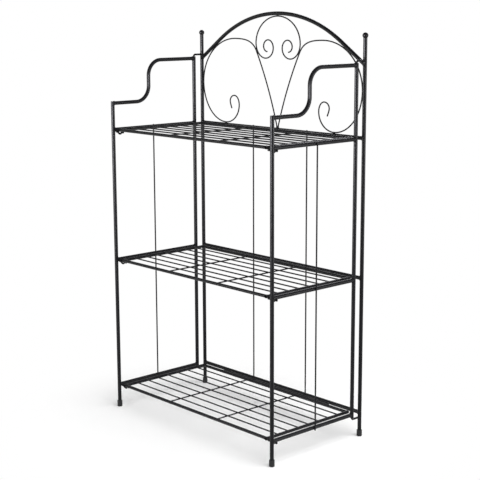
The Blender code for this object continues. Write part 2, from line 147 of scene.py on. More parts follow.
# puts shells into one mesh at the origin and gives it to its body
def makePiece(name, shells, material, body, nodes=()):
    counts = np.cumsum([0] + [len(shell[0]) for shell in shells])
    verts = np.concatenate([shell[0] for shell in shells])
    quads = np.concatenate([shell[1] + start for shell, start in zip(shells, counts)])
    fans = np.concatenate([shell[2] + start for shell, start in zip(shells, counts)])
    marks = np.concatenate([shell[3] for shell in shells])
    mesh = bpy.data.meshes.new(name)
    mesh.vertices.add(len(verts))
    mesh.vertices.foreach_set("co", verts.astype(np.float32).ravel())
    sizes = np.concatenate((np.full(len(quads), 4), np.full(len(fans), 3)))
    mesh.loops.add(int(sizes.sum()))
    mesh.loops.foreach_set("vertex_index", np.concatenate((quads.ravel(), fans.ravel())).astype(np.int32))
    mesh.polygons.add(len(sizes))
    mesh.polygons.foreach_set("loop_start", np.concatenate(([0], np.cumsum(sizes)[:-1])).astype(np.int32))
    mesh.polygons.foreach_set("loop_total", sizes.astype(np.int32))
    mesh.update(calc_edges=True)
    mesh.polygons.foreach_set("use_smooth", np.ones(len(sizes), bool))
    mesh.attributes.new("rub", "FLOAT", "POINT").data.foreach_set("value", marks.astype(np.float32))
    mesh.set_sharp_from_angle(angle=sharpFrom)
    mesh.materials.append(material)
    piece = addObject(name, mesh)
    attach(piece, body)
    if nodes:
        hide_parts(*nodes)


# angles round a circle, without the one that closes it
def roundAngles(sides):
    return np.linspace(0, 2 * np.pi, sides, endpoint=False)


def unitRows(vectors):
    return vectors / np.linalg.norm(vectors, axis=1, keepdims=True)


# two unit vectors across a direction
def acrossOf(direction):
    helper = upward if abs(direction[2]) < 0.9 else acrossX
    first = np.cross(helper, direction)
    first = first / np.linalg.norm(first)
    return first, np.cross(direction, first)


# a circle carried along a path that lies in a plane: point + radius * (cos a * side + sin a * plane normal)
def carryRound(path, radius, sides, planeNormal):
    tangent = unitRows(np.gradient(path, axis=0))
    side = unitRows(np.cross(planeNormal, tangent))
    a = roundAngles(sides)[None, :, None]
    ring = np.cos(a) * side[:, None, :] + np.sin(a) * planeNormal[None, None, :]
    return path[:, None, :] + np.broadcast_to(radius, len(path))[:, None, None] * ring


# a profile of (radius, distance) turned about an axis: origin + distance * axis + radius * (cos a, sin a)
def turnAbout(profile, origin, axis, sides):
    first, second = acrossOf(axis)
    a = roundAngles(sides)[None, :, None]
    ring = np.cos(a) * first + np.sin(a) * second
    return origin + profile[:, 1, None, None] * axis + profile[:, 0, None, None] * ring


# a level and an upright run of points in (across, up)
def levelRun(start, end, height, count):
    return np.stack((np.linspace(start, end, count), np.full(count, height)), -1)


def uprightRun(place, low, high, count):
    return np.stack((np.full(count, place), np.linspace(low, high, count)), -1)


# points of an arc in (across, up), angles in degrees
def arcPoints(centre, radius, start, end, steps):
    a = np.radians(np.linspace(start, end, steps + 1))
    return np.stack((centre[0] + radius * np.cos(a), centre[1] + radius * np.sin(a)), -1)


# a quarter of an ellipse from start to end, level at its start or else upright there; the start is left out
def quarterPoints(start, end, levelStart, steps):
    a = np.pi / 2 * np.arange(1, steps + 1) / steps
    run, rise = end[0] - start[0], end[1] - start[1]
    if levelStart:
        return np.stack((start[0] + run * np.sin(a), start[1] + rise * (1 - np.cos(a))), -1)
    return np.stack((start[0] + run * (1 - np.cos(a)), start[1] + rise * np.sin(a)), -1)


# a cubic Bezier curve in (across, up); the start is left out
def bezierPoints(start, first, second, end, steps):
    t = (np.arange(1, steps + 1) / steps)[:, None]
    start, first, second, end = (np.array(knot, float)[None, :] for knot in (start, first, second, end))
    return (1 - t) ** 3 * start + 3 * t * (1 - t) ** 2 * first + 3 * t * t * (1 - t) * second + t ** 3 * end


# flat points (across, up) put into a plane of the frame
def standing(points, y):
    points = np.asarray(points, float)
    return np.stack((points[:, 0], np.full(len(points), y), points[:, 1]), -1)


def sideways(points, x):
    return np.stack((np.full(len(points), x), points[:, 0], points[:, 1]), -1)


def lying(points, z):
    return np.stack((points[:, 0], points[:, 1], np.full(len(points), z)), -1)


# each point slides along a direction until its distance from an axis is the radius: the nearer root of
# the quadratic
def slideToRound(points, direction, axisPoint, axis, radius):
    offset = points - axisPoint
    offset = offset - (offset @ axis)[:, None] * axis
    across = direction - (direction @ axis) * axis
    along = offset @ across
    square = across @ across
    inside = along ** 2 - square * ((offset ** 2).sum(1) - radius ** 2)
    return points + ((-along - np.sqrt(np.maximum(inside, 0))) / square)[:, None] * direction


# fits an end ring of a carried tube against a round neighbour, a little sunk into it
def copeEnd(points, end, axisPoint, axis, radius):
    direction = points[end].mean(0) - points[1 if end == 0 else end - 1].mean(0)
    direction = direction / np.linalg.norm(direction)
    points[end] = slideToRound(points[end], direction, axisPoint, axis, radius - tubing["sink"])


def copeBoth(points, firstPoint, lastPoint, axis, radius):
    copeEnd(points, 0, firstPoint, axis, radius)
    copeEnd(points, len(points) - 1, lastPoint, axis, radius)


# a straight tube fitted between two round neighbours, whose axes may lie lower by a drop; rows near its ends
# keep the fitted stretches short
def fittedTube(ends, radius, sides, rows, axis, neighbour, drop=0.0):
    start, end = ends
    length = np.linalg.norm(end - start)
    clear = 2 * neighbour
    places = np.concatenate(([0], np.linspace(clear, length - clear, rows), [length])) / length
    path = start + places[:, None] * (end - start)
    points = carryRound(path, radius, sides, acrossOf((end - start) / length)[1])
    copeBoth(points, start + drop, end + drop, axis, neighbour)
    return makeShell(points)


# a wire along a path with softly rounded ends: the end rings shrink as a cosine and move out as a sine
def softWire(path, radius, planeNormal):
    a = np.linspace(0, wiring["endTurn"] * np.pi, wiring["endSteps"])[1:]
    out = wiring["bulge"] * radius * np.sin(a)[:, None]
    head = path[0] - path[1]
    tail = path[-1] - path[-2]
    before = path[0] + out[::-1] * head / np.linalg.norm(head)
    after = path[-1] + out * tail / np.linalg.norm(tail)
    sizes = np.concatenate((radius * np.cos(a)[::-1], np.full(len(path), radius), radius * np.cos(a)))
    return carryRound(np.concatenate((before, path, after)), sizes, wiring["sides"], planeNormal)


# profile of an open tube: blind bore, rounded rim, outer wall, rounded rim, blind bore
def openTubeProfile(length, radius, bore):
    inner = radius - tubing["wall"]
    rim = tubing["rim"]
    cornerIn, cornerUp = tubing["boreEdge"]
    a = np.linspace(0, np.pi / 2, tubing["rimSteps"])
    foot = [(tubing["boreFloor"] * inner, bore), (inner - cornerIn, bore)]
    foot += [(inner, bore - cornerUp), (inner, rim)]
    foot += list(zip(inner + rim * (1 - np.cos(a)), rim * (1 - np.sin(a))))
    foot += list(zip(radius - rim + rim * np.sin(a), rim * (1 - np.cos(a))))
    foot = np.array(foot)
    head = foot[::-1].copy()
    head[:, 1] = length - head[:, 1]
    wall = uprightRun(radius, tubing["plainFrom"], length - tubing["plainFrom"], tubing["plainRows"])
    return np.concatenate((foot, wall, head))


def openTube(start, end, radius, bore):
    start, end = np.array(start, float), np.array(end, float)
    length = np.linalg.norm(end - start)
    return turnAbout(openTubeProfile(length, radius, bore), start, (end - start) / length, tubing["sides"])


# wear that is deepest at a place and fades over a length; the piece's settings hold both
def rubNear(distance, piece):
    return piece["rubDepth"] * np.clip(1 - distance / piece["rubReach"], 0, 1)


# wear at the first and last rows of a grid
def endRub(points, piece):
    centres = points.mean(1)
    first = np.linalg.norm(centres - centres[0], axis=1)
    last = np.linalg.norm(centres - centres[-1], axis=1)
    return rubNear(np.minimum(first, last), piece)[:, None]


# weld seam where a tube ends on a round neighbour: the meeting line, swept by a rippled circle whose centre
# stands a little out on the bisector of the two surfaces; both axes pass through the point
seamBead = {"radius": 0.0015, "thin": 0.5, "lift": 0.1, "ripples": 22, "depth": 0.09, "around": 66,
            "sides": 10}


def seamRing(point, tubeAxis, radius, axis, neighbour, size=1.0):
    first, second = acrossOf(tubeAxis)
    a = roundAngles(seamBead["around"])
    out = np.cos(a)[:, None] * first + np.sin(a)[:, None] * second
    line = slideToRound(point + radius * out, tubeAxis, point, axis, neighbour)
    fromAxis = line - point
    fromAxis = unitRows(fromAxis - (fromAxis @ axis)[:, None] * axis)
    tangent = unitRows(np.roll(line, -1, 0) - np.roll(line, 1, 0))
    bisector = unitRows(out + fromAxis)
    bisector = unitRows(bisector - (bisector * tangent).sum(1)[:, None] * tangent)
    binormal = np.cross(tangent, bisector)
    openness = 1 - (out * fromAxis).sum(1) ** 2          # 1 in a square corner, 0 where the tubes are tangent
    bead = size * seamBead["radius"] * (seamBead["thin"] + (1 - seamBead["thin"]) * openness)
    bead = bead * (1 + seamBead["depth"] * np.cos(seamBead["ripples"] * a))
    v = roundAngles(seamBead["sides"])[None, :, None]
    circle = np.cos(v) * bisector[:, None, :] + np.sin(v) * binormal[:, None, :]
    centre = line + seamBead["lift"] * bead[:, None] * bisector
    return makeShell(centre[:, None, :] + bead[:, None, None] * circle, closed=True)


# seams at both ends of a fitted tube
def endSeams(ends, way, radius, axis, neighbour, size=1.0):
    return [seamRing(end, sign * way, radius, axis, neighbour, size) for end, sign in zip(ends, (-1, 1))]


# a drop of weld: an ellipsoid whose radius ripples three times round, waves once from pole to pole and
# leans to an oval; the sizes are half lengths along, across and through the seam
weldDrops = {"rows": 9, "sides": 14, "pole": 0.12, "ripple": 0.07, "lean": 0.05,
             "upright": (0.0034, 0.0042, 0.0013), "scrollLow": (0.0042, 0.0015, 0.0023),
             "scrollHigh": (0.0036, 0.0015, 0.0023), "scrollLegs": (0.0062, 0.0036, 0.0030),
             "hook": (0.0040, 0.0013, 0.0014), "rodEnd": (0.0031, 0.0013, 0.0014),
             "crossing": (0.0030, 0.0030, 0.0014), "crossEnd": (0.0031, 0.0031, 0.0013)}


def weldDrop(centre, along, across, through, kind, turn=0.0):
    u = np.linspace(weldDrops["pole"], np.pi - weldDrops["pole"], weldDrops["rows"])[:, None]
    v = roundAngles(weldDrops["sides"])[None, :]
    swell = 1 + weldDrops["ripple"] * np.sin(3 * v + turn) * np.sin(2 * u)
    swell = swell + weldDrops["lean"] * np.cos(2 * v - turn)
    parts = (np.cos(u) * np.ones_like(v), np.sin(u) * np.cos(v), np.sin(u) * np.sin(v))
    axes = [axis * size for axis, size in zip((along, across, through), weldDrops[kind])]
    offset = sum((swell * part)[:, :, None] * axis for part, axis in zip(parts, axes))
    return makeShell(np.asarray(centre, float) + offset)


# a stitch of weld in the valley between two rods: a rippled circle on a straight line, thin at its ends
weldStitches = {"endIn": 0.01, "rowsPerRipple": 5, "depth": 0.08, "blunt": 8, "sides": 12}


def weldStitch(start, end, piece):
    ripples = piece["ripples"]
    t = np.linspace(weldStitches["endIn"], 1 - weldStitches["endIn"], weldStitches["rowsPerRipple"] * ripples)
    path = start + t[:, None] * (end - start)
    ripple = 1 + weldStitches["depth"] * np.cos(2 * np.pi * ripples * t)
    size = piece["bead"] * (1 - (2 * t - 1) ** weldStitches["blunt"]) ** 0.5 * ripple
    direction = path[-1] - path[0]
    normal = acrossOf(direction / np.linalg.norm(direction))[1]
    return makeShell(carryRound(path, size, weldStitches["sides"], normal))


# each input of a node takes a value, or a link from another node's output
def setInputs(tree, node, inputs):
    for label, value in inputs.items():
        if isinstance(value, bpy.types.NodeSocket):
            tree.links.new(value, node.inputs[label])
        else:
            node.inputs[label].default_value = value


# a shader node with its settings; gives back its outputs
def addNode(tree, kind, inputs, **settings):
    node = tree.nodes.new(f"ShaderNode{kind}")
    for setting, value in settings.items():
        setattr(node, setting, value)
    setInputs(tree, node, inputs)
    return node.outputs


# materials: one group gives the grain of a sprayed or moulded skin, and each finish sets its own values; the
# height is fine noise with slow waves in it, and the shade is clouds with some of the fine noise
skinGrain = {"detail": {"Grain": 2.0, "Waves": 1.0, "Cloud": 3.0}, "wavesInHeight": 0.15, "fineInShade": 0.3,
             "shadeFrom": 0.32, "shadeTo": 0.68}


def makeGrainGroup():
    group = bpy.data.node_groups.new("skinGrain", "ShaderNodeTree")
    for label in skinGrain["detail"]:
        group.interface.new_socket(label, in_out="INPUT", socket_type="NodeSocketFloat")
    for label in ("Height", "Shade"):
        group.interface.new_socket(label, in_out="OUTPUT", socket_type="NodeSocketFloat")
    entry = group.nodes.new("NodeGroupInput")
    leave = group.nodes.new("NodeGroupOutput")
    place = addNode(group, "TexCoord", {})["Object"]
    noises = {}
    for label, detail in skinGrain["detail"].items():
        values = {"Vector": place, "Scale": entry.outputs[label], "Detail": detail}
        noises[label] = addNode(group, "TexNoise", values)["Fac"]
    heights = {"Factor": skinGrain["wavesInHeight"], "A": noises["Grain"], "B": noises["Waves"]}
    shades = {"Factor": skinGrain["fineInShade"], "A": noises["Cloud"], "B": noises["Grain"]}
    height = addNode(group, "Mix", heights, data_type="FLOAT")["Result"]
    shade = addNode(group, "Mix", shades, data_type="FLOAT")["Result"]
    spread = {"Value": shade, "From Min": skinGrain["shadeFrom"], "From Max": skinGrain["shadeTo"]}
    setInputs(group, leave, {"Height": height, "Shade": addNode(group, "MapRange", spread)["Result"]})
    return group


grainGroup = makeGrainGroup()

powderCoat = {"dark": (0.0040, 0.0040, 0.0050), "light": (0.0080, 0.0080, 0.0098), "smooth": 0.28,
              "rough": 0.37, "grain": 1500, "waves": 330, "cloud": 38, "bump": 0.05, "depth": 0.0003,
              "specular": 0.17, "rubbed": (0.045, 0.045, 0.047)}
weldCoat = dict(powderCoat, smooth=0.40, rough=0.52, grain=1100, bump=0.22)
capPlastic = {"dark": (0.0085, 0.0085, 0.0092), "light": (0.0150, 0.0150, 0.0160), "smooth": 0.42,
              "rough": 0.54, "grain": 3200, "waves": 700, "cloud": 90, "bump": 0.12, "depth": 0.0002,
              "specular": 0.34, "rubbed": (0.030, 0.030, 0.031)}


def makeFinish(name, finish):
    material = bpy.data.materials.new(name)
    material.use_nodes = True
    tree = material.node_tree
    scales = {label: finish[label.lower()] for label in skinGrain["detail"]}
    grain = addNode(tree, "Group", scales, node_tree=grainGroup)
    shade = grain["Shade"]
    tones = {"Factor": shade, "A": (*finish["dark"], 1), "B": (*finish["light"], 1)}
    tone = addNode(tree, "Mix", tones, data_type="RGBA")["Result"]
    # rub marks break up along the grain
    rub = addNode(tree, "Attribute", {}, attribute_name="rub")["Fac"]
    broken = addNode(tree, "Math", {0: rub, 1: shade}, operation="MULTIPLY")["Value"]
    worn = {"Factor": broken, "A": tone, "B": (*finish["rubbed"], 1)}
    gloss = {"Value": shade, "To Min": finish["smooth"], "To Max": finish["rough"]}
    bump = {"Strength": finish["bump"], "Distance": finish["depth"], "Height": grain["Height"]}
    setInputs(tree, tree.nodes["Principled BSDF"], {
        "Specular IOR Level": finish["specular"],
        "Base Color": addNode(tree, "Mix", worn, data_type="RGBA")["Result"],
        "Roughness": addNode(tree, "MapRange", gloss)["Result"],
        "Normal": addNode(tree, "Bump", bump)["Normal"]})
    return material


coatMaterial = makeFinish("blackPowderCoat", powderCoat)
weldMaterial = makeFinish("blackWeldCoat", weldCoat)
capMaterial = makeFinish("blackCapPlastic", capPlastic)
print("finishes made")


# a coated skin that stands for one node
def coatNode(node, body, *shells):
    makePiece(f"{node}_skin", shells, coatMaterial, body, [node])


welds = {body: [] for body in frame["bodies"]}
backWelds = welds["back_frame"]

# rear posts, front posts and the tubes that the side frames swing on
postSkin = {"rows": 24, "domeSteps": 6, "rearEdge": 0.0003, "frontEdge": 0.0012, "rubReach": 0.012,
            "rubDepth": 0.5}


# a straight wall that rounds over at its top
def postProfile(low, high, edge):
    a = np.linspace(0, np.pi / 2, postSkin["domeSteps"])
    wall = uprightRun(tubeR, low, high - edge, postSkin["rows"])
    dome = np.stack((tubeR - edge + edge * np.cos(a), high - edge + edge * np.sin(a)), -1)[1:]
    return np.concatenate((wall, dome))


postBottom = postLow[2]
postTop = postHigh[2]
frontTop = spanOf("front_post_right")[1][2]
rearProfile = postProfile(postBottom, postTop, postSkin["rearEdge"])
frontProfile = postProfile(postBottom, frontTop, postSkin["frontEdge"])
for side, sign in sideSigns.items():
    body = f"{side}_side_frame"
    rearFoot, frontFoot, hingeFoot = (np.array((sign * half, y, 0.0)) for y in (backY, frontY, sideY))
    rear = turnAbout(rearProfile, rearFoot, upward, tubing["sides"])
    coatNode(f"rear_post_{side}", "back_frame", makeShell(rear))
    front = turnAbout(frontProfile, frontFoot, upward, tubing["sides"])
    coatNode(f"front_post_{side}", body, makeShell(front))
    hingeEnds = [hingeFoot + upward * corner[2] for corner in (sideTubeLow, sideTubeHigh)]
    hinge = openTube(hingeEnds[0], hingeEnds[1], tubeR, tubing["bore"])
    coatNode(f"side_hinge_tube_{side}", body, makeShell(hinge, rub=endRub(hinge, postSkin)))

# foot caps: a ring of the sole stands on the floor, the wall is straight with a shallow line under the
# shoulder, and the shoulder rounds over onto the post
footCap = {"radius": 0.0079, "tall": 0.0195, "soft": 0.0018, "softSteps": 8, "sides": 48, "hub": 0.001,
           "groove": (0.0040, 0.0048), "grooveDepth": 0.0006, "grooveSlope": 0.0003,
           "wallFrom": 0.0004, "wallTo": 0.0018, "wallRows": 7,
           "line": 0.0036, "lineDepth": 0.00035, "lineWide": 0.0005, "lineReach": 0.0014, "lineRows": 11,
           "mouthOut": 0.0002, "mouthIn": 0.0003}


def footProfile():
    wide, tall, soft = footCap["radius"], footCap["tall"], footCap["soft"]
    hub, deep, slant = footCap["hub"], footCap["grooveDepth"], footCap["grooveSlope"]
    inner, outer = footCap["groove"]
    sole = [(hub, 0), (inner - slant, 0), (inner, deep), (outer, deep), (outer + slant, 0)]
    a = np.linspace(0, np.pi / 2, footCap["softSteps"])
    corner = np.stack((wide - soft + soft * np.sin(a), soft * (1 - np.cos(a))), -1)
    # wall: a straight run with a dip shaped as a bell round the line's height
    lineZ = tall - footCap["line"]
    plain = np.linspace(soft + footCap["wallFrom"], lineZ - footCap["wallTo"], footCap["wallRows"])
    near = lineZ + np.linspace(-footCap["lineReach"], footCap["lineReach"], footCap["lineRows"])
    height = np.concatenate((plain, near))
    dip = footCap["lineDepth"] * np.exp(-((height - tall + footCap["line"]) / footCap["lineWide"]) ** 2)
    wall = np.stack((wide - dip, height), -1)
    shoulder = np.stack((wide - soft + soft * np.cos(a), tall - soft + soft * np.sin(a)), -1)
    mouth = footCap["mouthIn"]
    close = [(tubeR + footCap["mouthOut"], tall), (tubeR - mouth, tall - mouth), (hub, tall - mouth)]
    return np.concatenate((sole, corner, wall, shoulder, close))


for end, y, body in (("rear", backY, "back_frame"), ("front", frontY, None)):
    for side, sign in sideSigns.items():
        foot = turnAbout(footProfile(), np.array((sign * half, y, 0.0)), upward, footCap["sides"])
        makePiece(f"{end}_foot_{side}_cap", [makeShell(foot)], capMaterial, body or f"{side}_side_frame",
                  [f"{end}_foot_{side}"])

# finials: a plug in the post, a stem with a seam above the post, a soft neck and a ball
finialBall = {"radius": 0.0084, "neck": 0.0012, "neckSteps": 7, "crownTo": 0.47, "crownSteps": 22,
              "sides": 48, "plugIn": 0.0016, "plugLong": 0.010, "seam": 0.0003,
              "seamSteps": ((0.0006, 0.0), (0.0002, 0.0001), (0.0, 0.0004)),
              "stemFrom": 0.004, "stemTo": 0.0005, "stemRows": 8}


def finialProfile(ballHeight):
    ball, neck = finialBall["radius"], finialBall["neck"]
    # the neck is a fillet whose circle touches the stem and the ball
    reach = tubeR + neck
    drop = math.sqrt((ball + neck) ** 2 - reach ** 2)
    lowest = math.atan2(drop, reach)
    a = np.linspace(np.pi, np.pi - lowest, finialBall["neckSteps"])
    fillet = np.stack((reach + neck * np.cos(a), ballHeight - drop + neck * np.sin(a)), -1)
    b = np.linspace(-lowest, finialBall["crownTo"] * np.pi, finialBall["crownSteps"])[1:]
    crown = np.stack((ball * np.cos(b), ballHeight + ball * np.sin(b)), -1)
    plug = tubeR - finialBall["plugIn"]
    base = [(plug, -finialBall["plugLong"]), (plug, 0.0)]
    base += [(tubeR - inset, finialBall["seam"] + rise) for inset, rise in finialBall["seamSteps"]]
    stemTop = ballHeight - drop - finialBall["stemTo"]
    stem = uprightRun(tubeR, finialBall["stemFrom"], stemTop, finialBall["stemRows"])
    return np.concatenate((base, stem, fillet, crown))


for side, sign in sideSigns.items():
    ballHeight = spanOf(f"finial_{side}")[1][2] - finialBall["radius"] - postTop
    postEnd = np.array((sign * half, backY, postTop))
    finial = turnAbout(finialProfile(ballHeight), postEnd, upward, finialBall["sides"])
    coatNode(f"finial_{side}", "back_frame", makeShell(finial))
print("posts, feet and finials made")

# rails across the back, fitted to the posts
railRows = 30
for level, z in levelZ.items():
    ends = [np.array((sign * half, backY, z)) for sign in (-1, 1)]
    rail = fittedTube(ends, tubeR, tubing["sides"], railRows, upward, tubeR)
    coatNode(f"{level}_rail", "back_frame", rail)
    backWelds += endSeams(ends, acrossX, tubeR, upward, tubeR)

# arch: straight shoulders that run into one arc, fitted to the posts
archTube = {"radius": 0.463, "slope": math.radians(34.2), "steps": 72, "shoulder": (0, 0.15, 0.3, 0.6)}
a = np.linspace(archTube["slope"], -archTube["slope"], archTube["steps"] + 1)
archMiddle = archTop - archTube["radius"]
bow = np.stack((archTube["radius"] * np.sin(a), archMiddle + archTube["radius"] * np.cos(a)), -1)
shoulder = np.array((half, armHigh))
rightRun = shoulder + np.array(archTube["shoulder"])[:, None] * (bow[0] - shoulder)
leftRun = (rightRun * (-1, 1))[::-1]
archPath = standing(np.concatenate((rightRun, bow, leftRun)), backY)
arch = carryRound(archPath, tubeR, tubing["sides"], towardBack)
for row, sign in ((0, 1), (len(arch) - 1, -1)):
    post = np.array((sign * half, backY, armHigh))
    copeEnd(arch, row, post, upward, tubeR)
    slopeAxis = np.array((sign * math.cos(archTube["slope"]), 0, -math.sin(archTube["slope"])))
    backWelds.append(seamRing(post, slopeAxis, tubeR, upward, tubeR))
coatNode("arch_tube", "back_frame", makeShell(arch))

# upright wires: two behind the rails, and later one outside the crossbars of each side frame
uprightWire = {"rows": 30, "endIn": 0.001}
uprightR = (spanOf("back_wire_left")[1][0] - spanOf("back_wire_left")[0][0]) / 2


def uprightRod(node):
    low, high = spanOf(node)
    x, y = middleOf(node)[:2]
    run = uprightRun(y, low[2] + uprightWire["endIn"], high[2] - uprightWire["endIn"], uprightWire["rows"])
    return x, y, makeShell(softWire(sideways(run, x), uprightR, acrossX))


for side in sideSigns:
    wireX, wireY, rod = uprightRod(f"back_wire_{side}")
    coatNode(f"back_wire_{side}", "back_frame", rod)
    for turn, z in enumerate(levelZ.values()):
        backWelds.append(weldDrop((wireX, wireY - uprightR, z), acrossX, upward, towardBack, "upright", turn))
print("back frame made")

# scrolls: the central one is a quarter of an ellipse to each side and then a spiral whose radius closes
# as a power of the turn still to go
scrollR = (spanOf("scroll_center")[1][1] - spanOf("scroll_center")[0][1]) / 2
centralScroll = {"reach": 0.095, "drop": 0.081, "loopSteps": 48, "curlPlace": 0.045, "curlDrop": 0.008,
                 "curlRadius": 0.0165, "turn": math.radians(455), "closing": math.radians(340), "power": 1.7,
                 "curlSteps": 120}
touching = tubeR + scrollR + weldGap
loopTop = np.array((0, archTop - touching))
loopSide = loopTop + (centralScroll["reach"], -centralScroll["drop"])
curlMiddle = np.array((centralScroll["curlPlace"], loopSide[1] - centralScroll["curlDrop"]))
joint = loopSide - curlMiddle
turned = centralScroll["turn"] * np.arange(1, centralScroll["curlSteps"] + 1) / centralScroll["curlSteps"]
stillOpen = np.maximum(0, 1 - turned / centralScroll["closing"]) ** centralScroll["power"]
curlReach = centralScroll["curlRadius"] + (np.hypot(*joint) - centralScroll["curlRadius"]) * stillOpen
heading = math.atan2(joint[1], joint[0]) - turned
curl = curlMiddle + curlReach[:, None] * np.stack((np.cos(heading), np.sin(heading)), -1)
loopQuarter = quarterPoints(loopTop, loopSide, True, centralScroll["loopSteps"])
loopHalf = np.concatenate((loopTop[None], loopQuarter, curl))
loopPath = np.concatenate((loopHalf[:0:-1] * (-1, 1), loopHalf))
coatNode("scroll_center", "back_frame", makeShell(softWire(standing(loopPath, backY), scrollR, towardBack)))

# each side scroll: a leg that bows a little, from the top rail past the central scroll, a hump under the
# arch, down the post, round on the rail and into a curl; the curl's places are shares of half the width
sideScroll = {"legBow": math.radians(6), "hump": 0.543, "postTouch": (0.36, 0.15), "railTouch": 0.669,
              "curl": ((0.493, 0.163), (0.556, 0.244), (0.613, 0.193), (0.592, 0.130)),
              "bend": 0.36, "humpBend": 1.4, "tipBend": (0.008, 0.02), "footSink": 0.0008, "footTurn": 1.0,
              "steps": {"leg": 24, "rise": 36, "fall": 48, "round": 44, "curlIn": 30, "curlTop": 20,
                        "tip": 10}}
steps = sideScroll["steps"]
scrollFloor = levelZ["top"] + touching
legFoot = np.array((scrollR + weldGap, scrollFloor))
# a straight leg would just clear the loop at legAngle; the bowed one passes it at that angle less the bow
seen = loopHalf - legFoot
away = np.hypot(seen[:, 0], seen[:, 1])
legAngle = (np.arctan2(seen[:, 1], seen[:, 0]) - np.arcsin((2 * scrollR + weldGap) / away)).min()
passing = legAngle - sideScroll["legBow"]
passWay = np.array((math.cos(passing), math.sin(passing)))
outWay = np.array((math.sin(passing), -math.cos(passing)))
legTouch = loopHalf[np.argmax(loopHalf @ outWay)]
legEnd = legTouch + (2 * scrollR + weldGap) * outWay
chord = legEnd - legFoot
chordThird = np.hypot(*chord) / 3
leaving = 2 * math.atan2(chord[1], chord[0]) - passing
leaveWay = np.array((math.cos(leaving), math.sin(leaving)))
# the hump is a quarter of an ellipse that is upright at the post and touches the arch's shoulder
upShare, outShare = sideScroll["postTouch"]
postTouch = np.array((half - touching, scrollFloor + upShare * (armHigh - scrollFloor) + outShare * half))
humpX = sideScroll["hump"] * half
slope = math.tan(archTube["slope"])
lineTop = armHigh + half * slope - touching / math.cos(archTube["slope"])     # the shoulder's line at x = 0
humpRun = postTouch[0] - humpX
humpRise = math.sqrt((lineTop - postTouch[1] - slope * humpX) ** 2 - (slope * humpRun) ** 2)
hump = np.array((humpX, postTouch[1] + humpRise))
railTouch = np.array((sideScroll["railTouch"] * half, scrollFloor))
curlKnots = [np.array((x * half, scrollFloor + z * half)) for x, z in sideScroll["curl"]]
curlLeft, curlTop, curlRight, curlEnd = curlKnots
bend = sideScroll["bend"] * (hump[0] - legEnd[0])
tipX, tipZ = (share * half for share in sideScroll["tipBend"])
legKnots = (legFoot, legFoot + chordThird * leaveWay, legEnd - chordThird * passWay, legEnd)
riseKnots = (legEnd, legEnd + bend * passWay, hump - (sideScroll["humpBend"] * bend, 0), hump)
sidePath = np.concatenate((
    legFoot[None],
    bezierPoints(*legKnots, steps["leg"]),
    bezierPoints(*riseKnots, steps["rise"]),
    quarterPoints(hump, postTouch, True, steps["fall"]),
    quarterPoints(postTouch, railTouch, False, steps["round"]),
    quarterPoints(railTouch, curlLeft, True, steps["curlIn"]),
    quarterPoints(curlLeft, curlTop, False, steps["curlTop"]),
    quarterPoints(curlTop, curlRight, True, steps["curlTop"]),
    bezierPoints(curlRight, curlRight - (0, tipZ), curlEnd + (tipX, tipZ), curlEnd, steps["tip"])))
humpTurn = math.atan(slope * humpRun / humpRise)
archTouch = np.array((humpX + humpRun * math.sin(humpTurn), postTouch[1] + humpRise * math.cos(humpTurn)))
slopeWay = np.array((math.cos(archTube["slope"]), -math.sin(archTube["slope"])))
# where a side scroll is welded: the place, which way the seam runs, and its kind of drop
scrollSpots = (
    (railTouch - (0, scrollR), (1, 0), "scrollLow"),
    (postTouch + (scrollR, 0), (0, 1), "scrollHigh"),
    (archTouch + scrollR * np.array((slope, 1)) / math.hypot(slope, 1), slopeWay, "scrollHigh"),
    (legTouch + scrollR * outWay, passWay, "scrollHigh"))
for side, sign in sideSigns.items():
    scroll = softWire(standing(sidePath * (sign, 1), backY), scrollR, towardBack)
    coatNode(f"scroll_{side}", "back_frame", makeShell(scroll))
    for spot, way, kind in scrollSpots:
        along, across = standing([(sign * way[0], way[1]), (sign * way[1], -way[0])], 0)
        place = standing([spot * (sign, 1)], backY)[0]
        backWelds.append(weldDrop(place, along, across, towardBack, kind, sign))
loopWeld = (0, backY, loopTop[1] + scrollR)
legsWeld = (0, backY, scrollFloor - sideScroll["footSink"])
backWelds.append(weldDrop(loopWeld, acrossX, upward, towardBack, "scrollLow"))
backWelds.append(weldDrop(legsWeld, acrossX, upward, towardBack, "scrollLegs", sideScroll["footTurn"]))
print("scrolls made")

# bent pins that the side frames swing on: level out of the post, then up or down into the hinge tube
sidePin = {"radius": 0.003, "reach": 0.018, "bendSteps": 10, "sunk": 0.0015, "levelRows": 6, "fallRows": 5,
           "seam": 0.7, "rubReach": 0.006, "rubDepth": 0.7, "rubPast": 0.003}
pinBend = 2 * sidePin["radius"]
for side, sign in sideSigns.items():
    x = sign * half
    for end, tubeEnd, way in (("upper", sideTubeHigh[2], 1), ("lower", sideTubeLow[2], -1)):
        legZ = tubeEnd + way * pinBend
        leg = levelRun(backY - tubeR + sidePin["sunk"], sideY + pinBend, legZ, sidePin["levelRows"])[:-1]
        elbow = arcPoints((sideY + pinBend, tubeEnd), pinBend, 90 * way, 180 * way, sidePin["bendSteps"])
        fallen = np.linspace(0, sidePin["reach"], sidePin["fallRows"])[1:]
        fall = np.stack((np.full(len(fallen), sideY), tubeEnd - way * fallen), -1)
        pin = softWire(sideways(np.concatenate((leg, elbow, fall)), x), sidePin["radius"], acrossX)
        centres = pin.mean(1)
        wear = rubNear(np.abs(centres[:, 2] - tubeEnd), sidePin)
        wear = wear * (centres[:, 1] < sideY + sidePin["rubPast"])
        coatNode(f"{end}_side_pin_{side}", "back_frame", makeShell(pin, rub=wear[:, None]))
        root = np.array((x, backY, legZ))
        backWelds.append(seamRing(root, towardBack, sidePin["radius"], upward, tubeR, sidePin["seam"]))

